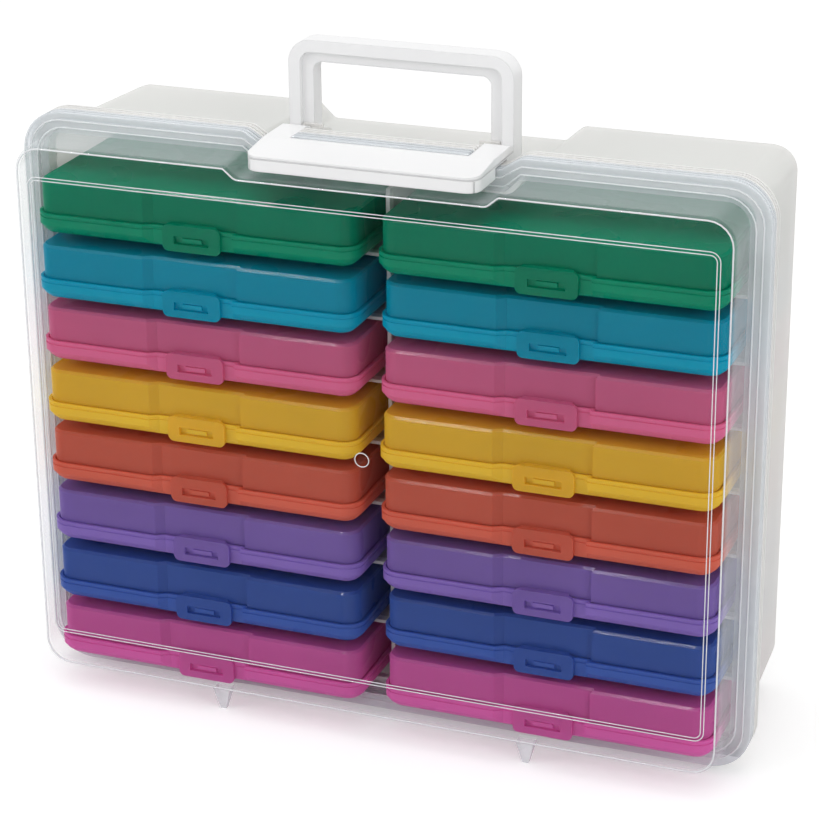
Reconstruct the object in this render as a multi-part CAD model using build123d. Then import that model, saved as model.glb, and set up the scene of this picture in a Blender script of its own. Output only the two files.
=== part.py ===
"""Carry case for sixteen clip-top inner cases, closed and standing on its feet.

X runs across the case, Y from the lid (front) to the shell's back wall, Z up.
The origin is on the floor, in the middle of the overall width and depth. Millimetres.
"""
from build123d import *
import os

# --- Carry case, overall -----------------------------------------------------
RIM_WIDTH = 381.0
RIM_HEIGHT = 301.0
RIM_CORNER = 21.0
RIM_OVERHANG = 7.5  # how far the rim stands out past the walls
RIM_DEPTH = 7.25  # front-to-back depth of each half of the rim
CASE_DEPTH = 130.0
LID_DEPTH = 36.0  # face of the lid to the parting plane
GROUND_GAP = 4.0  # floor to the lower edge of the rim
PARTING_GAP = 0.3  # open line between the two halves
LID_WALL = 2.0
SHELL_WALL = 1.8
LID_DRAFT = 2.25  # inset of each side, rim to face
LID_EDGE = 3.0  # rounding round the face
SHELL_DRAFT_SIDE = 4.0  # inset of each side, rim to back
SHELL_DRAFT_TOP = 3.0
SHELL_EDGE = 6.0
SHELL_CORNER = 12.5

# --- Rim ribs, seal and latch landing ------------------------------------------
RIM_GROOVE = 0.9  # depth of the grooves round the rim
RIM_RIB = 1.5  # width of each rib between the grooves
RIM_RIBS = 3
CHANNEL_IN = 2.0  # outer edge of the rim to the seal channel
CHANNEL_WIDTH = 2.6
CHANNEL_DEPTH = 4.0
TONGUE_HEIGHT = 1.6
TONGUE_CLEARANCE = 0.5
LANDING_DROP = 6.3  # how far the rim dips under each latch arm
LANDING_OUT = 60.5  # half-width where the dip starts to climb again
LANDING_CLIMB = 10.0
LANDING_FOOT_RADIUS = 6.0
LANDING_CREST_RADIUS = 8.0
BOSS_CREST_RADIUS = 1.0
BOSS_FOOT_RADIUS = 0.4
BOSS_EDGE = 2.0  # rounding of the boss's front edge, which the latch bar swings past

# --- Handle recess -------------------------------------------------------------
RECESS_FLOOR_HALF = 62.6
RECESS_FOOT_RADIUS = 5.0
RECESS_CREST_RADIUS = 4.5
LID_RECESS_HALF = 68.5  # half-width at the top of the lid
LID_RECESS_DEPTH = 14.7  # below the top of the rim
SHELL_RECESS_HALF = 71.0
SHELL_RECESS_DEPTH = 18.5

# --- Face panel ------------------------------------------------------------------
PANEL_SIDE = 6.6
PANEL_TOP = 15.4
PANEL_BOTTOM = 18.8
PANEL_CORNER = 5.0
PANEL_LINE = 1.6
PANEL_DEEP = 0.5
GATE_RADIUS = 4.0
GATE_NUB_RADIUS = 1.5

# --- Latch -----------------------------------------------------------------------
PIN_RADIUS = 1.6
PIN_LENGTH = 7.0
PIN_CLEARANCE = 0.05  # radial, for every moulded pin in its bore
SIDE_CLEARANCE = 0.3  # beside the moving arms
LATCH_HALF = 58.4
LATCH_WINDOW_HALF = 45.3
LATCH_FRONT = 2.0  # behind the lid's face
LATCH_SLOPE_TOP = 26.0
LATCH_CATCH_GAP = 0.9  # bar to the front of the rim
LATCH_TOP_DROP = 0.8  # below the top of the rim, at the back
LATCH_NOSE_DROP = 3.5  # at the front
LATCH_LIP = 1.0  # nose down to the groove that parts the sloping top from the skirt
LATCH_GROOVE = 0.6
LATCH_SKIRT_DROP = 10.8  # foot of the skirt
LATCH_ARM_THICK = 4.8
LATCH_CORNER = 7.0
LATCH_WALL = 2.0
LATCH_KNUCKLE = 5.2
LATCH_PIVOT_BACK = 49.5  # behind the lid's face
LATCH_PIVOT_DROP = 6.3  # below the top of the rim

# --- Handle ------------------------------------------------------------------------
HANDLE_HALF = 57.7
HANDLE_STEP = 6.2  # width of the proud outer band
HANDLE_WIDTH = 12.2
HANDLE_BAR = 11.0
HANDLE_TOP = 345.0
HANDLE_FRONT = 56.0  # behind the lid's face
HANDLE_DEPTH = 12.0
HANDLE_SET_BACK = 2.5
HANDLE_OUTER_RADIUS = 11.5
HANDLE_INNER_RADIUS = 4.5
HANDLE_PIVOT_BACK = 64.0
HANDLE_PIVOT_DROP = 10.5
HANDLE_HEEL = 5.5
HANDLE_BACK_HEEL = 4.0
LUG_THICK = 4.5
LUG_LATCH_RADIUS = 4.4
LUG_HANDLE_RADIUS = 5.0
LUG_ROOT = 3.2  # height of the root that is centred on the recess floor
STOP_WIDTH = 5.5
STOP_DEPTH = 2.7
STOP_HEIGHT = 4.0
STOP_RISE = 4.8  # above the handle's pivot, clear of the turning heel

# --- Lid hinge ---------------------------------------------------------------------
HINGE_SPREAD = 100.0  # centre of the case to each hinge
HINGE_KNUCKLE = 16.0
HINGE_EAR = 5.5
HINGE_RADIUS = 3.9
HINGE_NOTCH = 4.3
HINGE_SIDE_GAP = 0.5

# --- Feet --------------------------------------------------------------------------
FOOT_SPREAD = 82.4
FOOT_FRONT = 8.4  # behind the lid's face
FOOT_BACK = 20.0  # in front of the back wall
FOOT_ROOT = (10.5, 7.0)
FOOT_TIP = (3.0, 2.6)
FOOT_SINK = 1.0  # how far the root goes into the wall

# --- Inner cases -------------------------------------------------------------------
ROWS = 8
PITCH = 33.0
CASE_WIDTH = 171.2
CASE_LENGTH = 114.0
CASE_HEIGHT = 28.6
CASE_BOTTOM = 16.1  # underside of the lowest row
COLUMN_GAP = 10.0
CASE_CORNER = 10.0
CASE_WALL = 1.4
TRAY_HEIGHT = 11.8
TRAY_BAND = 6.0  # height of the upright band round the tray
TRAY_TURNS = ((0.0, 8.0), (1.5, 4.0), (3.5, 1.7))  # (height, inset) up the rounded bottom
BAND_STEP = 0.3  # band past the top of the rounded bottom
BAND_GROOVE_DEEP = 0.4
BAND_GROOVE = (9.6, 10.2)  # heights of the groove round the band
TOP_INSET = 2.0  # lid walls set in from the tray's band
TOP_EDGE = 1.2
DENT_OUTER = -25.5
DENT_INNER = -21.0
DENT_RIGHT = 22.0
DENT_DEEP = 2.5
TAB_WIDTH = 30.7
TAB_HEIGHT = 11.5
TAB_THICK = 1.8
TAB_GAP = 0.1
TAB_CORNER = 3.0
TAB_ROOT = 1.5  # how far the tab reaches up over the lid's wall
SLOT_WIDTH = 18.5
SLOT_HEIGHT = 4.0
CATCH_WIDTH = 10.5
CATCH_HEIGHT = 2.2
SLID_BACK = {  # how far each case stands behind the lid's face, top row first
    "left": (7.7, 4.8, 5.7, 4.6, 4.6, 4.8, 4.6, 4.8),
    "right": (6.0, 9.4, 7.3, 4.6, 4.9, 5.8, 8.3, 7.5),
}

# --- Racks in the shell --------------------------------------------------------------
LEDGE_THICK = 1.6
LEDGE_REACH = 14.0  # past the edge of the case it carries
LEDGE_START = 3.0  # behind the parting plane
RACK_WALL = 2.0  # spine of the middle rack and back strips of the side racks
RACK_CLEARANCE = 0.6  # between a rack and the shell's drafted side wall

# --- Worked out from the sizes above --------------------------------------------------
FACE_Y = -CASE_DEPTH / 2
BACK_Y = CASE_DEPTH / 2
PARTING_Y = FACE_Y + LID_DEPTH
MID_Z = GROUND_GAP + RIM_HEIGHT / 2
RIM_TOP = GROUND_GAP + RIM_HEIGHT
FOOT_WIDTH = RIM_WIDTH - 2 * RIM_OVERHANG
FOOT_HEIGHT = RIM_HEIGHT - 2 * RIM_OVERHANG
FOOT_CORNER = RIM_CORNER - RIM_OVERHANG
LID_RIM_Y = PARTING_Y - RIM_DEPTH
SHELL_RIM_Y = PARTING_Y + RIM_DEPTH
BORE_RADIUS = PIN_RADIUS + PIN_CLEARANCE
LUG_OUTER = LATCH_WINDOW_HALF - SIDE_CLEARANCE
HINGE_AT = (PARTING_Y, GROUND_GAP)
LATCH_AT = (FACE_Y + LATCH_PIVOT_BACK, RIM_TOP - LATCH_PIVOT_DROP)
HANDLE_AT = (FACE_Y + HANDLE_PIVOT_BACK, RIM_TOP - HANDLE_PIVOT_DROP)
RACK_FRONT = PARTING_Y + LEDGE_START
RACK_BACK = BACK_Y - SHELL_WALL
RACK_MIDDLE = COLUMN_GAP / 2 + LEDGE_REACH
RACK_EDGE = COLUMN_GAP / 2 + CASE_WIDTH - LEDGE_REACH
OVERCUT = 5.0  # how far a cutting solid runs past what it cuts


def upright(y, sketch):
    """Stand a flat sketch upright at depth y, its own centre at the middle of the case."""
    return Plane(origin=(0, y, MID_Z), x_dir=(1, 0, 0), z_dir=(0, -1, 0)) * sketch


def backwards(y, sketch, depth):
    """Extrude a sketch towards the back, starting at depth y."""
    return extrude(upright(y, sketch), amount=depth, dir=(0, 1, 0))


def across(x, sketch, width):
    """Extrude a side profile, drawn as (y, z), across the case from x."""
    plane = Plane(origin=(x, 0, 0), x_dir=(0, 1, 0), z_dir=(1, 0, 0))
    return extrude(plane * sketch, amount=width, dir=(1, 0, 0))


def block(x, y, z):
    """Box between three (low, high) pairs."""
    size = (x[1] - x[0], y[1] - y[0], z[1] - z[0])
    return Pos((x[0] + x[1]) / 2, (y[0] + y[1]) / 2, (z[0] + z[1]) / 2) * Box(*size)


def rod(centre, radius, x, length):
    """Cylinder along X round a (y, z) centre, starting at x."""
    return across(x, Pos(*centre) * Circle(radius), length)


def mirrored(points, radii):
    """Closed outline from its right-hand half, each corner with its own radius."""
    left = [(-x, z) for x, z in reversed(points)]
    return make_face(FilletPolyline(*points, *left, radius=[*radii, *reversed(radii)], close=True))


# --- Carry case -----------------------------------------------------------------------
def wall_outline(width, height, corner, recess_half, recess_depth):
    """Section through the walls: a rounded rectangle with the handle recess in its top."""
    floor = RIM_TOP - recess_depth - MID_Z
    points = [
        (RECESS_FLOOR_HALF, floor),
        (recess_half, height / 2),
        (width / 2, height / 2),
        (width / 2, -height / 2),
    ]
    return mirrored(points, [RECESS_FOOT_RADIUS, RECESS_CREST_RADIUS, corner, corner])


def rim_outline():
    """Section through the rim, dipped under the latch arms beside the middle boss."""
    top = RIM_HEIGHT / 2
    points = [
        (LATCH_WINDOW_HALF - SIDE_CLEARANCE, top),
        (LATCH_WINDOW_HALF - SIDE_CLEARANCE, top - LANDING_DROP),
        (LANDING_OUT, top - LANDING_DROP),
        (LANDING_OUT + LANDING_CLIMB, top),
        (RIM_WIDTH / 2, top),
        (RIM_WIDTH / 2, -top),
    ]
    radii = [BOSS_CREST_RADIUS, BOSS_FOOT_RADIUS, LANDING_FOOT_RADIUS, LANDING_CREST_RADIUS,
             RIM_CORNER, RIM_CORNER]
    return mirrored(points, radii)


def rim_ring(outer_in, inner_in):
    """Ring between two insets of the rim's outline."""
    outline = rim_outline()
    outer = offset(outline, -outer_in) if outer_in else outline
    return outer - offset(outline, -inner_in)


def rim_plate(start, depth):
    """One half of the rim as a solid plate with fine grooves round its edge."""
    plate = backwards(start, rim_outline(), depth)
    gap = (depth - RIM_RIBS * RIM_RIB) / (RIM_RIBS - 1)
    ring = rim_ring(0, RIM_GROOVE)
    for rib in range(1, RIM_RIBS):
        plate -= backwards(start + rib * RIM_RIB + (rib - 1) * gap, ring, gap)
    return plate


def drafted(front_y, front, back_y, back, edge, rounded_face):
    """Solid between two sections, with the edges of its end face rounded."""
    solid = loft([upright(front_y, front), upright(back_y, back)])
    face = solid.faces().sort_by(Axis.Y)[rounded_face]
    return fillet(face.edges(), edge)


def foot(y, root_z):
    """Tapered foot from the bottom wall down to the floor."""
    tip = Rectangle(*FOOT_TIP)
    root = Pos(0, 0, root_z) * Rectangle(*FOOT_ROOT)
    shape = loft([tip, root])
    return [Pos(side * FOOT_SPREAD, y, 0) * shape for side in (-1, 1)]


def hinge_blocks(width, start):
    """Cylinders along the hinge axis at both hinges, each from its own start."""
    return [rod(HINGE_AT, HINGE_RADIUS, side * HINGE_SPREAD + start, width) for side in (-1, 1)]


def hinge_room(width, start):
    """Clearance round a hinge cylinder in the opposite half."""
    start = start - HINGE_SIDE_GAP
    width = width + 2 * HINGE_SIDE_GAP
    return [rod(HINGE_AT, HINGE_NOTCH, side * HINGE_SPREAD + start, width) for side in (-1, 1)]


def ear_starts():
    """Left edges of the two ears beside a knuckle, from the centre of the hinge."""
    inner = HINGE_KNUCKLE / 2 + HINGE_SIDE_GAP
    return (-inner - HINGE_EAR, inner)


def lid_sections():
    """Outlines of the lid's face and of the foot of its walls at the rim."""
    recess = (LID_RECESS_HALF, LID_RECESS_DEPTH)
    width, height = FOOT_WIDTH - 2 * LID_DRAFT, FOOT_HEIGHT - 2 * LID_DRAFT
    face = wall_outline(width, height, FOOT_CORNER, *recess)
    return face, wall_outline(FOOT_WIDTH, FOOT_HEIGHT, FOOT_CORNER, *recess)


def face_panel():
    """Fine groove that frames the lid's face."""
    width = FOOT_WIDTH - 2 * LID_DRAFT - 2 * PANEL_SIDE
    height = FOOT_HEIGHT - 2 * LID_DRAFT - PANEL_TOP - PANEL_BOTTOM
    lift = (PANEL_BOTTOM - PANEL_TOP) / 2
    frame = RectangleRounded(width, height, PANEL_CORNER)
    inside = RectangleRounded(width - 2 * PANEL_LINE, height - 2 * PANEL_LINE, PANEL_CORNER - PANEL_LINE)
    return Pos(0, lift) * (frame - inside)


def front_lid():
    """Clear front half, with the moulding gate at the middle of its face."""
    face, base = lid_sections()
    lid = drafted(FACE_Y, face, LID_RIM_Y, base, LID_EDGE, 0)
    plate_depth = RIM_DEPTH - PARTING_GAP / 2
    lid += rim_plate(LID_RIM_Y, plate_depth)
    boss_front = block((-LUG_OUTER, LUG_OUTER), (LID_RIM_Y, LID_RIM_Y + BOSS_EDGE),
                       (RIM_TOP - BOSS_EDGE, RIM_TOP))
    round_at = (LID_RIM_Y + BOSS_EDGE, RIM_TOP - BOSS_EDGE)
    lid -= boss_front - rod(round_at, BOSS_EDGE, -LUG_OUTER, 2 * LUG_OUTER)
    hollow = loft([upright(FACE_Y + LID_WALL, offset(face, -LID_WALL)),
                   upright(PARTING_Y + OVERCUT, offset(base, -LID_WALL))])
    lid -= hollow
    channel = rim_ring(CHANNEL_IN, CHANNEL_IN + CHANNEL_WIDTH)
    channel_y = LID_RIM_Y + plate_depth - CHANNEL_DEPTH
    lid -= backwards(channel_y, channel, CHANNEL_DEPTH)
    lid -= backwards(FACE_Y, face_panel(), PANEL_DEEP)
    lid -= backwards(FACE_Y, Circle(GATE_RADIUS) - Circle(GATE_NUB_RADIUS), PANEL_DEEP)
    wall_bottom = GROUND_GAP + RIM_OVERHANG + LID_DRAFT * (1 - FOOT_FRONT / (LID_DEPTH - RIM_DEPTH))
    lid += foot(FACE_Y + FOOT_FRONT, wall_bottom + FOOT_SINK)
    for start in ear_starts():
        lid -= hinge_room(HINGE_EAR, start)
    lid += hinge_blocks(HINGE_KNUCKLE, -HINGE_KNUCKLE / 2)
    for side in (-1, 1):
        lid -= rod(HINGE_AT, BORE_RADIUS, side * HINGE_SPREAD - HINGE_KNUCKLE, 2 * HINGE_KNUCKLE)
    return lid


def shell_sections():
    """Outlines of the rear shell's walls at the rim and at the back."""
    recess = (SHELL_RECESS_HALF, SHELL_RECESS_DEPTH)
    base = wall_outline(FOOT_WIDTH, FOOT_HEIGHT, FOOT_CORNER, *recess)
    width, height = FOOT_WIDTH - 2 * SHELL_DRAFT_SIDE, FOOT_HEIGHT - 2 * SHELL_DRAFT_TOP
    return base, wall_outline(width, height, SHELL_CORNER, *recess)


def runners():
    """Runners on the bottom wall, at its sides and its middle, that carry the lowest cases."""
    depth, level = (RACK_FRONT, BACK_Y), (0, CASE_BOTTOM)
    pieces = [block((-RACK_MIDDLE, RACK_MIDDLE), depth, level)]
    for side in (-1, 1):
        reach = sorted((side * RACK_EDGE, side * RIM_WIDTH / 2))
        pieces.append(block(reach, depth, level))
    return Part() + pieces


def ledge_levels():
    """(low, high) of the ledges under every row of cases above the lowest."""
    tops = [CASE_BOTTOM + row * PITCH for row in range(1, ROWS)]
    return [(top - LEDGE_THICK, top) for top in tops]


def half_width_inside(y):
    """Half the width between the shell's drafted side walls at depth y."""
    start = PARTING_Y + PARTING_GAP / 2
    inset = SHELL_DRAFT_SIDE * (y - start) / (BACK_Y - start)
    return FOOT_WIDTH / 2 - inset - SHELL_WALL


def side_rack(side):
    """Comb on the back wall, with a ledge under the outer edge of each case above the lowest."""
    bend = RACK_BACK - SHELL_EDGE
    tip = half_width_inside(RACK_BACK) - SHELL_EDGE
    plan = make_face(Polyline((RACK_EDGE, RACK_FRONT),
                              (half_width_inside(RACK_FRONT) - RACK_CLEARANCE, RACK_FRONT),
                              (half_width_inside(bend) - RACK_CLEARANCE, bend),
                              (tip, RACK_BACK), (RACK_EDGE, RACK_BACK), close=True))
    levels = ledge_levels()
    rack = block((RACK_EDGE, tip), (RACK_BACK - RACK_WALL, RACK_BACK), (levels[0][0], levels[-1][1]))
    for low, _ in levels:
        rack += Pos(0, 0, low) * extrude(plan, amount=LEDGE_THICK)
    return rack if side > 0 else mirror(rack, Plane.YZ)


def middle_rack():
    """Spine between the two columns, with a ledge under the inner edges of each row's cases."""
    depth = (RACK_FRONT, RACK_BACK)
    height = (CASE_BOTTOM + SHELL_EDGE, CASE_BOTTOM + ROWS * PITCH)
    rack = block((-RACK_WALL / 2, RACK_WALL / 2), depth, height)
    for level in ledge_levels():
        rack += block((-RACK_MIDDLE, RACK_MIDDLE), depth, level)
    return rack


def lug(side):
    """Upright lug beside a latch arm and a handle leg, with a pin for each and a stop."""
    floor = RIM_TOP - SHELL_RECESS_DEPTH
    latch = Pos(*LATCH_AT) * Circle(LUG_LATCH_RADIUS)
    handle = Pos(*HANDLE_AT) * Circle(LUG_HANDLE_RADIUS)
    length = HANDLE_AT[0] - LATCH_AT[0] + LUG_LATCH_RADIUS + LUG_HANDLE_RADIUS
    middle = (HANDLE_AT[0] + LUG_HANDLE_RADIUS + LATCH_AT[0] - LUG_LATCH_RADIUS) / 2
    base = Pos(middle, floor) * Rectangle(length, LUG_ROOT)
    profile = make_hull([*latch.edges(), *handle.edges(), *base.edges()])
    inner = LUG_OUTER - LUG_THICK
    plate = across(inner, profile, LUG_THICK)
    for centre in (LATCH_AT, HANDLE_AT):
        plate += rod(centre, PIN_RADIUS, inner, LUG_THICK + PIN_LENGTH)
    stop_back = FACE_Y + HANDLE_FRONT + HANDLE_SET_BACK - SIDE_CLEARANCE
    stop_low = HANDLE_AT[1] + STOP_RISE
    plate += block((inner, LUG_OUTER + STOP_WIDTH), (stop_back - STOP_DEPTH, stop_back),
                   (stop_low, stop_low + STOP_HEIGHT))
    return plate if side > 0 else mirror(plate, Plane.YZ)


def rear_shell():
    """Frosted back half, with the lowest cases' runners and the lugs for latch and handle."""
    base, back = shell_sections()
    plate_start = PARTING_Y + PARTING_GAP / 2
    core = drafted(plate_start, base, BACK_Y, back, SHELL_EDGE, -1)
    hollow = loft([upright(PARTING_Y - OVERCUT, offset(base, -SHELL_WALL)),
                   upright(BACK_Y - SHELL_WALL, offset(back, -SHELL_WALL))])
    hollow = fillet(hollow.faces().sort_by(Axis.Y)[-1].edges(), SHELL_EDGE - SHELL_WALL)
    shell = core + rim_plate(plate_start, SHELL_RIM_Y - plate_start) - hollow
    shell += runners() & core
    tongue_in = CHANNEL_IN + TONGUE_CLEARANCE
    tongue = rim_ring(tongue_in, CHANNEL_IN + CHANNEL_WIDTH - TONGUE_CLEARANCE)
    shell += backwards(plate_start - TONGUE_HEIGHT, tongue, TONGUE_HEIGHT + RIM_RIB)
    rise = SHELL_DRAFT_TOP * (1 - FOOT_BACK / (BACK_Y - SHELL_RIM_Y))
    shell += foot(BACK_Y - FOOT_BACK, GROUND_GAP + RIM_OVERHANG + rise + FOOT_SINK)
    shell += [lug(side) for side in (-1, 1)]
    shell -= hinge_room(HINGE_KNUCKLE, -HINGE_KNUCKLE / 2)
    for start in ear_starts():
        shell += hinge_blocks(HINGE_EAR, start)
    pin_half = HINGE_KNUCKLE / 2 + HINGE_SIDE_GAP + HINGE_EAR / 2
    for side in (-1, 1):
        shell += rod(HINGE_AT, PIN_RADIUS, side * HINGE_SPREAD - pin_half, 2 * pin_half)
    return shell


# --- Latch and handle -------------------------------------------------------------------
def lid_latch():
    """U-shaped latch: a sloping bar in front of the rim and two arms back to the lugs."""
    front = FACE_Y + LATCH_FRONT
    catch = LID_RIM_Y - LATCH_CATCH_GAP
    top = RIM_TOP - LATCH_TOP_DROP
    skirt = RIM_TOP - LATCH_SKIRT_DROP
    slope = [(front, RIM_TOP - LATCH_NOSE_DROP), (FACE_Y + LATCH_SLOPE_TOP, top)]
    bar = make_face(Polyline((front, skirt), *slope, (catch, top), (catch, skirt), close=True))
    arm = make_face(Polyline((catch - LATCH_WALL, top - LATCH_ARM_THICK), (catch - LATCH_WALL, top),
                             (LATCH_AT[0], top), (LATCH_AT[0], top - LATCH_ARM_THICK), close=True))
    knuckle = Pos(*LATCH_AT) * Circle(LATCH_KNUCKLE)
    latch = across(-LATCH_HALF, bar, 2 * LATCH_HALF)
    inside = make_face(Polyline((front + LATCH_WALL, skirt - OVERCUT),
                                (front + LATCH_WALL, slope[0][1] - LATCH_WALL),
                                (catch - LATCH_WALL, top - LATCH_WALL),
                                (catch - LATCH_WALL, skirt - OVERCUT), close=True))
    latch -= across(LATCH_WALL - LATCH_HALF, inside, 2 * (LATCH_HALF - LATCH_WALL))
    width = LATCH_HALF - LATCH_WINDOW_HALF
    for start in (-LATCH_HALF, LATCH_WINDOW_HALF):
        latch += across(start, Sketch() + [arm, knuckle], width)
    plan = Pos(0, front + LATCH_PIVOT_BACK) * Rectangle(2 * LATCH_HALF, 2 * LATCH_PIVOT_BACK)
    plan = fillet(plan.vertices().sort_by(Axis.Y)[:2], LATCH_CORNER)
    latch &= Pos(0, 0, skirt - OVERCUT) * extrude(plan, amount=LATCH_SKIRT_DROP + 2 * OVERCUT)
    edge = plan - offset(plan, -LATCH_GROOVE)
    level = RIM_TOP - LATCH_NOSE_DROP - LATCH_LIP - LATCH_GROOVE
    latch -= Pos(0, 0, level) * extrude(edge, amount=LATCH_GROOVE)
    return latch - pin_bores(LATCH_AT)


def pin_bores(centre):
    """Blind bores for the lug pins, in a latch arm or a handle leg on each side."""
    depth = PIN_LENGTH + SIDE_CLEARANCE
    return [rod(centre, BORE_RADIUS, start, depth) for start in (LUG_OUTER, -LUG_OUTER - depth)]


def bail(half, top, radius):
    """Filled outline of the handle out to one of its steps, open-ended below the pivot."""
    low = HANDLE_AT[1] - 2 * HANDLE_HEEL - MID_Z
    return mirrored([(half, top - MID_Z), (half, low)], [radius, 0])


def carry_handle():
    """Bail handle: a proud outer band round a set-back inner one, on a rounded heel."""
    front = FACE_Y + HANDLE_FRONT
    outer = bail(HANDLE_HALF, HANDLE_TOP, HANDLE_OUTER_RADIUS)
    step = bail(HANDLE_HALF - HANDLE_STEP, HANDLE_TOP - HANDLE_STEP, HANDLE_OUTER_RADIUS - HANDLE_STEP)
    grip = bail(HANDLE_HALF - HANDLE_WIDTH, HANDLE_TOP - HANDLE_BAR, HANDLE_INNER_RADIUS)
    handle = backwards(front, outer - step, HANDLE_SET_BACK)
    handle += backwards(front + HANDLE_SET_BACK, outer - grip, HANDLE_DEPTH - HANDLE_SET_BACK)
    low, high = HANDLE_AT[1] - HANDLE_HEEL, HANDLE_TOP + OVERCUT
    side = make_face(FilletPolyline((front, low), (front, high), (front + HANDLE_DEPTH, high),
                                    (front + HANDLE_DEPTH, low), close=True,
                                    radius=[HANDLE_HEEL, 0, 0, HANDLE_BACK_HEEL]))
    handle &= across(-HANDLE_HALF, side, 2 * HANDLE_HALF)
    return handle - pin_bores(HANDLE_AT)


# --- Inner cases --------------------------------------------------------------------------
def dent(grow):
    """Plan of the hollow along the middle of the front, grown by a wall."""
    front = -CASE_LENGTH / 2
    run = OVERCUT * (DENT_INNER - DENT_OUTER) / DENT_DEEP
    points = [(DENT_OUTER - run, front - OVERCUT), (DENT_INNER, front + DENT_DEEP),
              (DENT_RIGHT, front + DENT_DEEP), (DENT_RIGHT, front - OVERCUT)]
    hollow = make_face(Polyline(*points, close=True))
    return offset(hollow, grow, kind=Kind.INTERSECTION) if grow else hollow


def inner_plan(inset):
    """Plain rounded plan of an inner case, its centre at the origin."""
    size = (CASE_WIDTH - 2 * inset, CASE_LENGTH - 2 * inset)
    return RectangleRounded(*size, CASE_CORNER - inset)


def inner_outline(inset):
    """Plan of an inner case with its dented front."""
    return inner_plan(inset) - dent(inset)


def tray_form(shrink):
    """Solid tray: a rounded bottom under an upright band, shrunk by a wall for its hollow."""
    band_z = TRAY_HEIGHT - TRAY_BAND
    turns = [Pos(0, 0, z + shrink) * inner_plan(inset + shrink) for z, inset in TRAY_TURNS]
    bottom = loft([*turns, Pos(0, 0, band_z) * inner_plan(BAND_STEP + shrink)], ruled=True)
    bottom -= extrude(dent(BAND_STEP + shrink), amount=TRAY_HEIGHT)
    return bottom + Pos(0, 0, band_z) * extrude(inner_outline(shrink), amount=TRAY_BAND)


def case_tray():
    """Lower half: an upright grooved band over a rounded bottom, with the tab's catch."""
    low, high = BAND_GROOVE
    groove = inner_outline(0.0) - inner_outline(BAND_GROOVE_DEEP)
    tray = tray_form(0.0) - Pos(0, 0, low) * extrude(groove, amount=high - low)
    tray -= tray_form(CASE_WALL)
    catch_z = (TAB_HEIGHT - CATCH_HEIGHT) / 2
    catch_y = DENT_DEEP - CASE_LENGTH / 2
    half = CATCH_WIDTH / 2
    return tray + block((-half, half), (catch_y - TAB_THICK / 2, catch_y + CASE_WALL),
                        (catch_z, catch_z + CATCH_HEIGHT))


def case_tab():
    """Snap tab on the case lid's front, with the slot that clips over the tray's catch."""
    height = TRAY_HEIGHT + TAB_ROOT
    back_y = DENT_DEEP - CASE_LENGTH / 2 - TAB_GAP
    plate = Pos(0, height / 2) * RectangleRounded(TAB_WIDTH, height, TAB_CORNER)
    slot = Pos(0, TAB_HEIGHT / 2) * Rectangle(SLOT_WIDTH, SLOT_HEIGHT)
    plane = Plane(origin=(0, back_y, 0), x_dir=(1, 0, 0), z_dir=(0, -1, 0))
    tab = extrude(plane * (plate - slot), amount=TAB_THICK)
    half = TAB_WIDTH / 2 - TAB_CORNER
    return tab + block((-half, half), (back_y - TAB_THICK, back_y + TAB_GAP + TOP_INSET + CASE_WALL),
                       (TRAY_HEIGHT, height))


def case_lid():
    """Upper half: a deep cover standing on the tray's band, with the snap tab."""
    height = CASE_HEIGHT - TRAY_HEIGHT
    cover = Pos(0, 0, TRAY_HEIGHT) * extrude(inner_outline(TOP_INSET), amount=height)
    cover = chamfer(cover.faces().sort_by(Axis.Z)[-1].edges(), TOP_EDGE)
    hollow = extrude(inner_outline(TOP_INSET + CASE_WALL), amount=height - CASE_WALL)
    return cover - Pos(0, 0, TRAY_HEIGHT) * hollow + case_tab()


def inner_cases():
    """All the cases in their places, two columns of eight, named from the top row down."""
    tray, cover = case_tray(), case_lid()
    placed = {}
    for column, side in (("left", -1), ("right", 1)):
        for row, back in enumerate(SLID_BACK[column]):
            x = side * (COLUMN_GAP + CASE_WIDTH) / 2
            z = CASE_BOTTOM + (ROWS - 1 - row) * PITCH
            place = Pos(x, FACE_Y + back + CASE_LENGTH / 2, z)
            placed[f"case_{column}_{row + 1}_tray"] = place * tray
            placed[f"case_{column}_{row + 1}_lid"] = place * cover
    return placed


def main():
    os.makedirs("parts", exist_ok=True)
    nodes = {
        "rear_shell": rear_shell(),
        "left_rack": side_rack(-1),
        "middle_rack": middle_rack(),
        "right_rack": side_rack(1),
        "front_lid": front_lid(),
        "lid_latch": lid_latch(),
        "carry_handle": carry_handle(),
        **inner_cases(),
    }
    for name, shape in nodes.items():
        export_step(shape, f"parts/{name}.step")


main()
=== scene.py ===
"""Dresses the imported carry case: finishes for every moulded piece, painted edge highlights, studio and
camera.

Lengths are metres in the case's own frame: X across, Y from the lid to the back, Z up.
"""

import logging
import math
from dataclasses import dataclass, field
from enum import Enum

import bpy
from mathutils import Matrix, Vector


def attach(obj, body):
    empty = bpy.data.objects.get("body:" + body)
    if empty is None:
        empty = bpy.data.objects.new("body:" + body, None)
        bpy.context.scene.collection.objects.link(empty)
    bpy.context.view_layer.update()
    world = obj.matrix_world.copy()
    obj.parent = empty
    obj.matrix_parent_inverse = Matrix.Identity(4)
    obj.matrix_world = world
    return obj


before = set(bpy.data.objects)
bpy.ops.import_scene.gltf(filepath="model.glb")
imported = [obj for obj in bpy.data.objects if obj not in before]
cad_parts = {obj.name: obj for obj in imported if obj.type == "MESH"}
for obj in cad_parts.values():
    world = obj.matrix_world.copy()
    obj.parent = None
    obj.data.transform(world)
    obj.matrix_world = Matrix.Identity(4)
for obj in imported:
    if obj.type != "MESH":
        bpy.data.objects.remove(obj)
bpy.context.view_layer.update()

LOG = logging.getLogger("carry_case")
Colour = tuple[float, float, float]
Place = tuple[float, float, float]
Socket = bpy.types.NodeSocket
MM = 0.001
WHITE = (1.0, 1.0, 1.0, 1.0)
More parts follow.
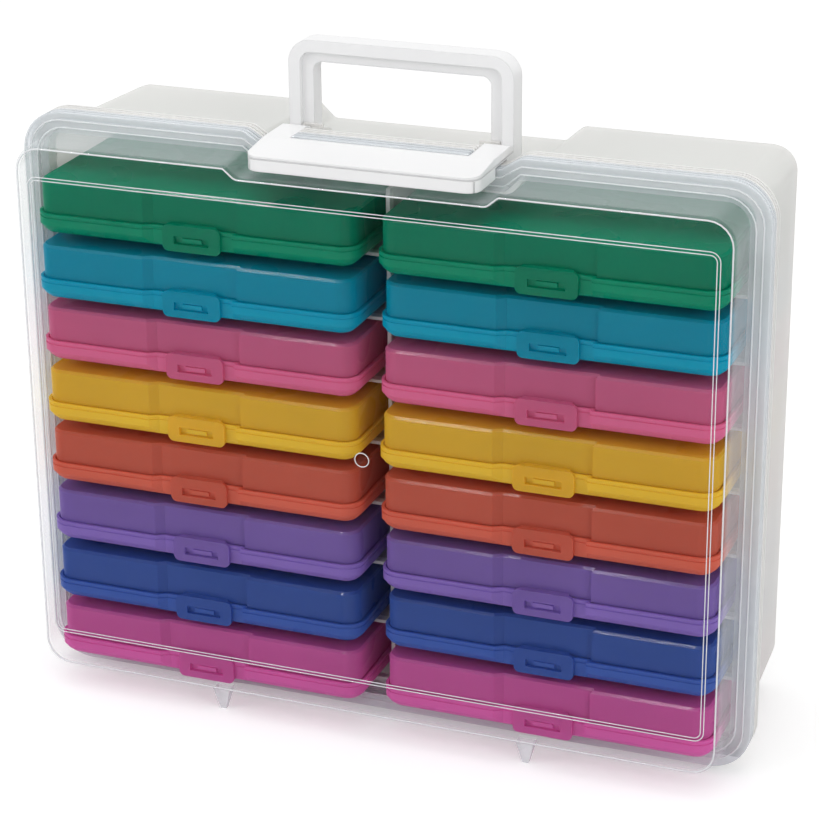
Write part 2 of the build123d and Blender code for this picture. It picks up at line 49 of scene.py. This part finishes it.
BLEND_ENDS = (0.3, 0.7)  # most noise lies between these factors
EVEN_BLEND = 0.5  # facing is then 1 minus the cosine of the viewing angle
CREASE = 32.0  # degrees; edges above it stay sharp


class Side(Enum):
    """The two columns of inner cases."""

    LEFT = "left"
    RIGHT = "right"


class CaseColour(Enum):
    """Tints of the inner cases, from the top row down."""

    EMERALD = (0.000, 0.370, 0.210)
    TEAL = (0.000, 0.460, 0.660)
    MAUVE = (0.850, 0.210, 0.420)
    YELLOW = (1.000, 0.680, 0.060)
    ORANGE_RED = (0.820, 0.190, 0.120)
    PURPLE = (0.350, 0.220, 0.660)
    BLUE = (0.070, 0.160, 0.560)
    MAGENTA = (0.830, 0.180, 0.550)


class NodeBench:
    """Adds and links the nodes of one material or world."""

    def __init__(self, owner: bpy.types.Material | bpy.types.World) -> None:
        """Start from an empty node tree.

        Args:
            owner: material or world that the nodes belong to.
        """
        owner.use_nodes = True
        self.tree = owner.node_tree
        self.tree.nodes.clear()

    def add(self, kind: str, **values: object) -> bpy.types.Node:
        """Add a node and set its input sockets by name.

        Args:
            kind: the node's type.
            **values: default values, with underscores for spaces in the socket's name.

        Returns:
            The new node.
        """
        node = self.tree.nodes.new(kind)
        for name, value in values.items():
            node.inputs[name.replace("_", " ")].default_value = value
        return node

    def link(self, source: Socket, target: Socket) -> None:
        """Link an output socket to the input socket that takes its value."""
        self.tree.links.new(source, target)

    def here(self) -> Socket:
        """The shaded point, in the piece's own space."""
        return self.add("ShaderNodeTexCoord").outputs["Object"]

    def noise(self, size: float, detail: float = 0.0) -> Socket:
        """Noise in the piece's own space.

        Args:
            size: width of one patch, in metres.
            detail: octaves of finer noise.

        Returns:
            The noise factor's socket.
        """
        noise = self.add("ShaderNodeTexNoise", Scale=1.0 / size, Detail=detail)
        self.link(self.here(), noise.inputs["Vector"])
        return noise.outputs["Fac"]

    def between(self, factor: Socket, low: Colour, high: Colour) -> Socket:
        """Blend two colours by a noise factor.

        Args:
            factor: blend factor.
            low: colour where the factor is low.
            high: colour where it is high.

        Returns:
            The blended colour's socket.
        """
        ramp = self.add("ShaderNodeValToRGB")
        for stop, place, colour in zip(ramp.color_ramp.elements, BLEND_ENDS, (low, high)):
            stop.position = place
            stop.color = (*colour, 1.0)
        self.link(factor, ramp.inputs["Fac"])
        return ramp.outputs["Color"]

    def spread(self, value: Socket, low: float, high: float, start: float = 0.0,
               end: float = 1.0) -> Socket:
        """Map a value to a range of numbers.

        Args:
            value: value to map.
            low: result up to the start.
            high: result from the end on.
            start: value where the result begins to change.
            end: value where it stops.

        Returns:
            The mapped value's socket.
        """
        ranged = self.add("ShaderNodeMapRange", From_Min=start, From_Max=end, To_Min=low, To_Max=high)
        self.link(value, ranged.inputs["Value"])
        return ranged.outputs["Result"]

    def combine(self, operation: str, first: Socket, second: Socket) -> Socket:
        """Combine two values, kept between 0 and 1.

        Args:
            operation: name of the arithmetic.
            first: one value.
            second: the other value.

        Returns:
            The result's socket.
        """
        sums = self.add("ShaderNodeMath")
        sums.operation = operation
        sums.use_clamp = True
        self.link(first, sums.inputs[0])
        self.link(second, sums.inputs[1])
        return sums.outputs["Value"]

    def mix(self, share: Socket | float, first: Socket, second: Socket) -> Socket:
        """Mix two shaders.

        Args:
            share: share of the second, as a number or a socket.
            first: shader at a share of 0.
            second: shader at a share of 1.

        Returns:
            The mixed shader's socket.
        """
        mixer = self.add("ShaderNodeMixShader")
        if isinstance(share, float):
            mixer.inputs["Fac"].default_value = share
        else:
            self.link(share, mixer.inputs["Fac"])
        self.link(first, mixer.inputs[1])
        self.link(second, mixer.inputs[2])
        return mixer.outputs["Shader"]

    def finish(self, shader: Socket, output: str = "ShaderNodeOutputMaterial") -> None:
        """Send the shader that is seen to an output node of the given type."""
        self.link(shader, self.add(output).inputs["Surface"])


def brightened(tint: Colour, gain: float) -> Colour:
    """The tint with every channel times the gain, and none above 1."""
    return tuple(min(1.0, channel * gain) for channel in tint)


@dataclass(frozen=True)
class MouldedPlastic:
    """Solid injection-moulded plastic with flow clouds, a fine skin and an uneven polish."""

    name: str
    tint: Colour
    roughness: float
    ior: float = 1.49
    mirror: float = 0.5
    cloud: float = 0.04
    cloud_size: float = 60 * MM
    cloud_detail: float = 1.0
    polish_size: float = 20 * MM
    skin_size: float = 1.2 * MM
    skin_height: float = 0.006 * MM
    polish: float = 0.06
    edge_radius: float = 0.0

    def surface(self, bench: NodeBench) -> bpy.types.Node:
        """Add the plastic's own surface.

        Args:
            bench: material that it goes into.

        Returns:
            The surface's shader node.
        """
        shader = bench.add("ShaderNodeBsdfPrincipled", IOR=self.ior)
        shader.inputs["Specular IOR Level"].default_value = self.mirror
        clouds = bench.noise(self.cloud_size, self.cloud_detail)
        tone = bench.between(clouds, brightened(self.tint, 1.0 - self.cloud),
                             brightened(self.tint, 1.0 + self.cloud))
        bench.link(tone, shader.inputs["Base Color"])
        swing = self.polish / 2
        rough = bench.spread(bench.noise(self.polish_size), self.roughness - swing, self.roughness + swing)
        bench.link(rough, shader.inputs["Roughness"])
        bump = bench.add("ShaderNodeBump", Strength=1.0, Distance=self.skin_height)
        bench.link(bench.noise(self.skin_size), bump.inputs["Height"])
        if self.edge_radius:
            rounding = bench.add("ShaderNodeBevel", Radius=self.edge_radius)
            bench.link(rounding.outputs["Normal"], bump.inputs["Normal"])
        bench.link(bump.outputs["Normal"], shader.inputs["Normal"])
        return shader

    def build(self) -> bpy.types.Material:
        """Make the material.

        Returns:
            The finished node material.
        """
        material = bpy.data.materials.new(self.name)
        bench = NodeBench(material)
        bench.finish(self.surface(bench).outputs["BSDF"])
        return material


@dataclass(frozen=True)
class ThickAndLitBand:
    """Stretch of a moulding, along one axis, made more solid and whiter: partly because the plastic is
    thicker there, partly as painted light where light gathers in clear rims and feet.
    """

    axis: str
    start: float
    end: float
    added: float


@dataclass(frozen=True)
class SheerPlastic(MouldedPlastic):
    """Moulded plastic that shows what is behind it, and is more solid where it is seen edge-on."""

    passed: Colour = (1.0, 1.0, 1.0)
    square_on: float = 0.2
    edge_on: float = 0.8
    turning: float = 0.0
    glow: float = 0.0
    gloss: float = 0.008
    gloss_roughness: float = 0.05
    thick_and_lit: tuple[ThickAndLitBand, ...] = ()

    def solidity(self, bench: NodeBench) -> Socket:
        """Share of the light that the surface stops, larger edge-on, and in bands whitened for thicker
        plastic and as painted light.

        Args:
            bench: material that it goes into.

        Returns:
            The share's socket.
        """
        view = bench.add("ShaderNodeLayerWeight", Blend=EVEN_BLEND)
        solid = bench.spread(view.outputs["Facing"], self.square_on, self.edge_on, self.turning)
        # bands that add solidity: thicker plastic, whitened further as painted light
        for band in self.thick_and_lit:
            place = bench.add("ShaderNodeSeparateXYZ")
            bench.link(bench.here(), place.inputs["Vector"])
            share = bench.spread(place.outputs[band.axis], 0.0, band.added, band.start, band.end)
            solid = bench.combine("ADD", solid, share)
        return solid

    def build(self) -> bpy.types.Material:
        """Make the material.

        Returns:
            The finished node material.
        """
        material = bpy.data.materials.new(self.name)
        bench = NodeBench(material)
        skin = self.surface(bench).outputs["BSDF"]
        if self.glow:
            lit_through = bench.add("ShaderNodeBsdfTranslucent", Color=(*self.tint, 1.0))
            skin = bench.mix(self.glow, skin, lit_through.outputs["BSDF"])
        clear = bench.add("ShaderNodeBsdfTransparent", Color=(*self.passed, 1.0))
        body = bench.mix(self.solidity(bench), clear.outputs["BSDF"], skin)
        sheen = bench.add("ShaderNodeBsdfGlossy", Roughness=self.gloss_roughness)
        bench.finish(bench.mix(self.gloss, body, sheen.outputs["BSDF"]))
        return material


def dress(node: str, material: bpy.types.Material) -> None:
    """Give a CAD node its finish, and smooth shading between its creases.

    Args:
        node: name of the CAD node.
        material: finish that it takes.
    """
    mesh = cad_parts[node].data
    mesh.materials.clear()
    mesh.materials.append(material)
    mesh.shade_smooth()
    mesh.set_sharp_from_angle(angle=math.radians(CREASE))
    LOG.info("dressed %s with %s", node, material.name)


@dataclass(frozen=True)
class Corner:
    """One corner of an upright outline, with the radius that rounds it."""

    x: float
    z: float
    radius: float

    def mirrored(self) -> "Corner":
        """The same corner on the left-hand side, mirrored in the case's middle plane."""
        return Corner(-self.x, self.z, self.radius)

    def arc(self, before: "Corner", after: "Corner", steps: int) -> list[Vector]:
        """Points of the arc that rounds this corner.

        Args:
            before: corner that the outline comes from.
            after: corner that it goes on to.
            steps: divisions of the arc.

        Returns:
            The arc's points, in order.
        """
        here = Vector((self.x, self.z))
        back = (Vector((before.x, before.z)) - here).normalized()
        ahead = (Vector((after.x, after.z)) - here).normalized()
        half = back.angle(ahead) / 2
        centre = here + (back + ahead).normalized() * self.radius / math.sin(half)
        start = here + back * self.radius / math.tan(half) - centre
        turn = start.angle_signed(here + ahead * self.radius / math.tan(half) - centre)
        return [centre + Matrix.Rotation(-turn * step / steps, 2) @ start for step in range(steps + 1)]


def rounded_loop(right_half: list[Corner], steps: int = 6) -> list[Vector]:
    """Closed outline from its right-hand corners, mirrored to the left.

    Args:
        right_half: corners from the top middle round to the bottom.
        steps: divisions of each corner's arc.

    Returns:
        The (x, z) points in order.
    """
    corners = right_half + [corner.mirrored() for corner in reversed(right_half)]
    points = []
    for index, corner in enumerate(corners):
        points += corner.arc(corners[index - 1], corners[(index + 1) % len(corners)], steps)
    return points


def highlight_tube(name: str, loop: list[Vector], depth: float, radius: float,
         sides: int = 8) -> bpy.types.Object:
    """Closed round tube along a loop that stands upright at one depth, drawn as a painted highlight line.

    Args:
        name: name of the piece.
        loop: (x, z) points of its centre line.
        depth: y of its centre line.
        radius: radius of its section.
        sides: facets round its section.

    Returns:
        The tube's object, linked into the scene.
    """
    count = len(loop)
    points = [Vector((x, depth, z)) for x, z in loop]
    corners = []
    for index, point in enumerate(points):
        along = (points[(index + 1) % count] - points[index - 1]).normalized()
        outward = along.cross(Vector((0.0, 1.0, 0.0)))
        for side in range(sides):
            angle = 2 * math.pi * side / sides
            corners.append(point + radius * (outward * math.cos(angle) + Vector((0, math.sin(angle), 0))))
    faces = []
    for index in range(count):
        ahead = (index + 1) % count
        for side in range(sides):
            turn = (side + 1) % sides
            faces.append((index * sides + side, index * sides + turn, ahead * sides + turn,
                          ahead * sides + side))
    mesh = bpy.data.meshes.new(name)
    mesh.from_pydata(corners, [], faces)
    mesh.shade_smooth()
    piece = bpy.data.objects.new(name, mesh)
    bpy.context.scene.collection.objects.link(piece)
    return piece


@dataclass
class PaintedEdgeHighlights:
    """Painted highlights: whitish tubes along the bright lines where light gathers in the clear plastic:
    panel, gate, face, wall root and both rims.

    In each outline, side is half the width, top and bottom are heights, and corner is a radius.
    The recess floor and the landing under a latch arm are half-widths with heights, and the boss
    radii are those of its crest and its foot.
    """

    panel_side: float = 174.15 * MM
    panel_top: float = 279.85 * MM
    panel_bottom: float = 32.55 * MM
    panel_corner: float = 5.0 * MM
    groove: float = 1.6 * MM
    face: float = -65.0 * MM
    face_side: float = 180.75 * MM
    face_top: float = 295.25 * MM
    face_bottom: float = 13.75 * MM
    face_corner: float = 13.5 * MM
    recess_floor: tuple[float, float] = (62.6 * MM, 290.3 * MM)
    recess_half: float = 68.5 * MM
    recess_radius: float = 4.5 * MM
    rim_side: float = 190.5 * MM
    rim_top: float = 305.0 * MM
    rim_bottom: float = 4.0 * MM
    rim_corner: float = 21.0 * MM
    rim_front: float = -36.25 * MM
    wall_flare: float = 1.8 * MM
    rim_back: float = -21.75 * MM
    boss_half: float = 45.0 * MM
    boss_radii: tuple[float, float] = (1.2 * MM, 0.3 * MM)
    landing: tuple[float, float] = (60.5 * MM, 298.7 * MM)
    landing_crest: float = 70.5 * MM
    landing_radius: float = 4.8 * MM
    rib_inset: float = 4.0 * MM
    gate_place: tuple[float, float] = (0.0, 154.5 * MM)
    gate_radius: float = 3.6 * MM
    thin: float = 0.25 * MM
    stout: float = 0.4 * MM
    sunk: float = 0.6 * MM
    # whitish, mostly solid plastic that paints the highlight lines
    finish: SheerPlastic = SheerPlastic(
        "edge_bead_plastic", tint=(0.93, 0.95, 0.97), roughness=0.12, cloud=0.01, square_on=0.7,
        edge_on=0.9)
    slots: dict[str, str] = field(
        default_factory=lambda: {"lid": "clear_lid", "case": "frosted_shell"})

    def panel(self, inset: float) -> list[Vector]:
        """Outline of the face panel's groove.

        Args:
            inset: distance inside the groove's outer edge.

        Returns:
            The (x, z) points in order.
        """
        side, radius = self.panel_side - inset, self.panel_corner - inset
        return rounded_loop([Corner(side, self.panel_top - inset, radius),
                             Corner(side, self.panel_bottom + inset, radius)])

    def wall_edge(self, inset: float, flare: float = 0.0) -> list[Vector]:
        """Outline of the lid's walls, with the handle recess in their top.

        Args:
            inset: distance inside the walls.
            flare: how far the walls have spread since the face.

        Returns:
            The (x, z) points in order.
        """
        floor_half, floor = self.recess_floor
        rise = (self.face_top - floor) / (self.recess_half - floor_half)
        shift = inset * math.tan(math.atan(rise) / 2)
        top, side = self.face_top + flare - inset, self.face_side + flare - inset
        corner = self.face_corner + flare - inset
        return rounded_loop([Corner(floor_half + shift, floor - inset, self.recess_radius),
                             Corner(self.recess_half + shift + flare / rise, top, self.recess_radius / 2),
                             Corner(side, top, corner),
                             Corner(side, self.face_bottom - flare + inset, corner)])

    def rim_edge(self, inset: float, boss_drop: float = 0.0) -> list[Vector]:
        """Outline of the rim, dipped under the latch arms beside the middle boss.

        Args:
            inset: distance inside the rim's edge.
            boss_drop: how much lower it runs over the boss.

        Returns:
            The (x, z) points in order.
        """
        dip_half, dip = self.landing
        crest, foot = self.boss_radii
        top, side, corner = self.rim_top - inset, self.rim_side - inset, self.rim_corner - inset
        return rounded_loop([Corner(self.boss_half - inset, top - boss_drop, crest),
                             Corner(self.boss_half - inset, dip - inset, foot),
                             Corner(dip_half, dip - inset, self.landing_radius),
                             Corner(self.landing_crest, top, self.landing_radius),
                             Corner(side, top, corner),
                             Corner(side, self.rim_bottom + inset, corner)])

    def gate(self, steps: int = 24) -> list[Vector]:
        """Ring round the moulding gate in the middle of the face.

        Args:
            steps: divisions of the ring.

        Returns:
            The (x, z) points in order.
        """
        x, z = self.gate_place
        turns = (2 * math.pi * step / steps for step in range(steps))
        return [Vector((x + self.gate_radius * math.cos(a), z - self.gate_radius * math.sin(a)))
                for a in turns]

    def build(self) -> None:
        """Make the painted highlight tubes and let each ride on its half of the case."""
        material = self.finish.build()
        sunk, deep = self.sunk, 2 * self.sunk
        in_panel = self.face + 2 * self.thin
        root = self.wall_edge(-self.stout, self.wall_flare)
        # each tube is a painted highlight: a bright line where light gathers in the clear groove, gate
        # ring, face edge, wall root, rim rib and rims
        highlight_pieces = (
            ("panel_highlight_outer", self.panel(0.0), in_panel, self.thin, "lid"),
            ("panel_highlight_inner", self.panel(self.groove), in_panel, self.thin, "lid"),
            ("face_highlight", self.wall_edge(deep), self.face + deep, self.stout, "lid"),
            ("wall_root_highlight", root, self.rim_front - self.thin, self.stout, "lid"),
            ("rim_rib_highlight", self.rim_edge(self.rib_inset), self.rim_front, self.stout, "lid"),
            ("lid_rim_highlight", self.rim_edge(sunk, deep), self.rim_front + sunk, self.stout, "lid"),
            ("gate_highlight", self.gate(), in_panel, self.thin, "lid"),
            ("shell_rim_highlight", self.rim_edge(sunk), self.rim_back - sunk, self.stout, "case"),
        )
        for name, loop, depth, radius, body in highlight_pieces:
            piece = highlight_tube(name, loop, depth, radius)
            piece.data.materials.append(material)
            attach(piece, body)
            LOG.info("built %s", name)


@dataclass
class OuterCase:
    """The clear lid, and the frosted rear shell with its racks."""

    lid_finish: SheerPlastic = SheerPlastic(
        "clear_lid_plastic", tint=(0.88, 0.92, 0.96), roughness=0.06, cloud=0.01, polish=0.04,
        square_on=0.0, edge_on=0.38, turning=0.3, gloss=0.003,
        # lid rim: thicker plastic, whitened further as painted light gathering in the clear rim
        thick_and_lit=(ThickAndLitBand("Y", start=-37.0 * MM, end=-36.3 * MM, added=0.35),  # rim
               # feet: whitened as painted light, the glint that shows the clear feet
               ThickAndLitBand("Z", start=11.8 * MM, end=11.3 * MM, added=0.35)))  # feet
    shell_finish: SheerPlastic = SheerPlastic(
        "frosted_shell_plastic", tint=(0.94, 0.935, 0.92), roughness=0.38, cloud=0.015, polish=0.08,
        passed=(0.99, 0.98, 0.97), square_on=0.5, edge_on=0.86, turning=0.1, glow=0.2,
        gloss_roughness=0.28,
        # shell rim: thicker frosted plastic, whitened further as painted light along the rim
        thick_and_lit=(ThickAndLitBand("Y", start=-21.0 * MM, end=-21.7 * MM, added=0.45),))  # rim

    def build(self) -> None:
        """Dress both halves and the racks."""
        dress("front_lid", self.lid_finish.build())
        frosted = self.shell_finish.build()
        for node in ("rear_shell", "left_rack", "middle_rack", "right_rack"):
            dress(node, frosted)


@dataclass
class Closure:
    """The white latch and the carry handle."""

    white: MouldedPlastic = MouldedPlastic(
        "white_satin_plastic", tint=(0.89, 0.89, 0.895), roughness=0.30, mirror=0.3, cloud=0.01,
        edge_radius=0.9 * MM)

    def build(self) -> None:
        """Dress the latch and the handle."""
        material = self.white.build()
        for node in ("lid_latch", "carry_handle"):
            dress(node, material)


@dataclass
class InnerCases:
    """Two columns of tinted cases, one tint a row, with sheerer covers over trays; the covers' tint is
    painted duller and the trays' brighter, as painted shade and light on one plastic.
    """

    roughness: float = 0.28
    glow: float = 0.3
    gloss: float = 0.010
    gloss_roughness: float = 0.09
    mirror: float = 0.1
    clearing: float = 0.4
    solid: dict[str, tuple[float, float]] = field(
        default_factory=lambda: {"lid": (0.62, 0.94), "tray": (0.74, 0.97)})
    # painted shade and light: covers darkened and trays brightened from the row's one tint
    gain: dict[str, float] = field(default_factory=lambda: {"lid": 0.90, "tray": 1.06})

    def finish(self, tint: CaseColour, half: str) -> SheerPlastic:
        """Finish of a row's covers or trays.

        Args:
            tint: tint of the row.
            half: "lid" or "tray".

        Returns:
            The finish, at that half's painted brightness and its solidity.
        """
        square_on, edge_on = self.solid[half]
        return SheerPlastic(
            f"case_{tint.name.lower()}_{half}_plastic", tint=brightened(tint.value, self.gain[half]),
            roughness=self.roughness, passed=tuple(channel ** self.clearing for channel in tint.value),
            square_on=square_on, edge_on=edge_on, glow=self.glow, gloss=self.gloss,
            gloss_roughness=self.gloss_roughness, mirror=self.mirror)

    def build(self) -> None:
        """Dress every tray and lid in its row's tint."""
        for row, tint in enumerate(CaseColour, start=1):
            for half in self.solid:
                material = self.finish(tint, half).build()
                for side in Side:
                    dress(f"case_{side.value}_{row}_{half}", material)


@dataclass(frozen=True)
class Lamp:
    """Area lamp that faces a point; one for glints only is kept out of the diffuse light."""

    name: str
    place: Place
    aim: Place
    width: float
    height: float
    watts: float
    glints_only: bool = False

    def build(self) -> None:
        """Make the lamp."""
        data = bpy.data.lights.new(self.name, "AREA")
        data.shape = "RECTANGLE"
        data.size = self.width
        data.size_y = self.height
        data.energy = self.watts
        lamp = bpy.data.objects.new(self.name, data)
        lamp.location = self.place
        facing = Vector(self.aim) - Vector(self.place)
        lamp.rotation_euler = facing.to_track_quat("-Z", "Y").to_euler()
        lamp.visible_diffuse = not self.glints_only
        bpy.context.scene.collection.objects.link(lamp)


@dataclass
class Studio:
    """White floor and surround, soft lamps and the camera."""

    azimuth: float = 21.16
    elevation: float = 22.18
    roll: float = 0.55
    distance: float = 1.26583
    target: Vector = field(default_factory=lambda: Vector((25.2 * MM, -65 * MM, 184.6 * MM)))
    lens: float = 116.89
    sensor: float = 36.0
    floor_size: float = 8.0
    floor_paper: tuple[float, float, float, float] = (0.86, 0.86, 0.86, 1.0)
    floor_lift: tuple[float, float] = (0.34, 0.50)
    floor_reach: tuple[float, float] = (0.6, 2.2)
    surround: float = 0.58
    clear_layers: int = 32
    bounces: int = 8
    lamps: tuple[Lamp, ...] = (
        Lamp("lamp_top", place=(0.0, -0.2, 1.9), aim=(0.0, 0.0, 0.1), width=1.6, height=1.6, watts=11.0),
        Lamp("lamp_left", place=(-1.6, -1.3, 1.0), aim=(0.0, 0.0, 0.15), width=1.2, height=1.2,
             watts=10.0),
        Lamp("lamp_right", place=(1.7, -0.9, 0.9), aim=(0.0, 0.0, 0.15), width=1.0, height=1.0,
             watts=8.0),
        Lamp("lamp_edges", place=(-0.70, -0.87, 2.05), aim=(0.0, -0.03, 0.2), width=2.2, height=0.12,
             watts=20.0, glints_only=True))

    def build(self) -> None:
        """Make the world, the floor, the lamps and the camera."""
        cycles = bpy.context.scene.cycles
        cycles.transparent_max_bounces = self.clear_layers
        cycles.max_bounces = self.bounces
        self.make_world()
        self.make_floor()
        for lamp in self.lamps:
            lamp.build()
        self.make_camera()
        bpy.context.scene.view_settings.view_transform = "Standard"

    def make_world(self) -> None:
        """Even light all round, seen as plain white."""
        world = bpy.data.worlds.new("studio_surround")
        bpy.context.scene.world = world
        bench = NodeBench(world)
        sky = bench.add("ShaderNodeBackground", Color=WHITE)
        rays = bench.add("ShaderNodeLightPath").outputs
        seen = bench.combine("MAXIMUM", rays["Is Camera Ray"], rays["Is Glossy Ray"])
        seen = bench.combine("MAXIMUM", seen, rays["Is Transmission Ray"])
        bench.link(bench.spread(seen, self.surround, 1.0), sky.inputs["Strength"])
        bench.finish(sky.outputs["Background"], "ShaderNodeOutputWorld")

    def make_floor(self) -> None:
        """White floor that shows the case's shadow and nothing else."""
        half = self.floor_size / 2
        mesh = bpy.data.meshes.new("studio_floor")
        mesh.from_pydata([(-half, -half, 0), (half, -half, 0), (half, half, 0), (-half, half, 0)], [],
                         [(0, 1, 2, 3)])
        floor = bpy.data.objects.new("studio_floor", mesh)
        bpy.context.scene.collection.objects.link(floor)
        mesh.materials.append(self.floor_finish())

    def floor_finish(self) -> bpy.types.Material:
        """White paper, lifted a little more further out, where the lamps fall off.

        Returns:
            The floor's material.
        """
        material = bpy.data.materials.new("floor_white")
        bench = NodeBench(material)
        paper = bench.add("ShaderNodeBsdfDiffuse", Color=self.floor_paper)
        reach = bench.add("ShaderNodeVectorMath")
        reach.operation = "LENGTH"
        bench.link(bench.here(), reach.inputs[0])
        strength = bench.spread(reach.outputs["Value"], *self.floor_lift, *self.floor_reach)
        seen = bench.add("ShaderNodeLightPath").outputs["Is Camera Ray"]
        lift = bench.add("ShaderNodeEmission", Color=WHITE)
        bench.link(bench.combine("MULTIPLY", seen, strength), lift.inputs["Strength"])
        both = bench.add("ShaderNodeAddShader")
        bench.link(paper.outputs["BSDF"], both.inputs[0])
        bench.link(lift.outputs["Emission"], both.inputs[1])
        bench.finish(both.outputs["Shader"])
        return material

    def make_camera(self) -> None:
        """Camera on a sphere round its target, rolled a little."""
        turn, tilt, roll = map(math.radians, (self.azimuth, self.elevation, self.roll))
        ahead = Vector((-math.sin(turn) * math.cos(tilt), math.cos(turn) * math.cos(tilt), -math.sin(tilt)))
        right = Vector((math.cos(turn), math.sin(turn), 0.0))
        down = ahead.cross(right)
        across = right * math.cos(roll) + down * math.sin(roll)
        up = right * math.sin(roll) - down * math.cos(roll)
        axes = Matrix((across, up, -ahead)).transposed().to_4x4()
        data = bpy.data.cameras.new("studio_camera")
        data.lens = self.lens
        data.sensor_width = self.sensor
        camera = bpy.data.objects.new("studio_camera", data)
        camera.matrix_world = Matrix.Translation(self.target - ahead * self.distance) @ axes
        bpy.context.scene.collection.objects.link(camera)
        bpy.context.scene.camera = camera


def main() -> None:
    """Build every group in order and report it."""
    logging.basicConfig(level=logging.INFO, format="%(name)s: %(message)s")
    for group in (OuterCase(), PaintedEdgeHighlights(), Closure(), InnerCases(), Studio()):
        group.build()
        LOG.info("built %s", type(group).__name__)


if __name__ == "__main__":
    main()
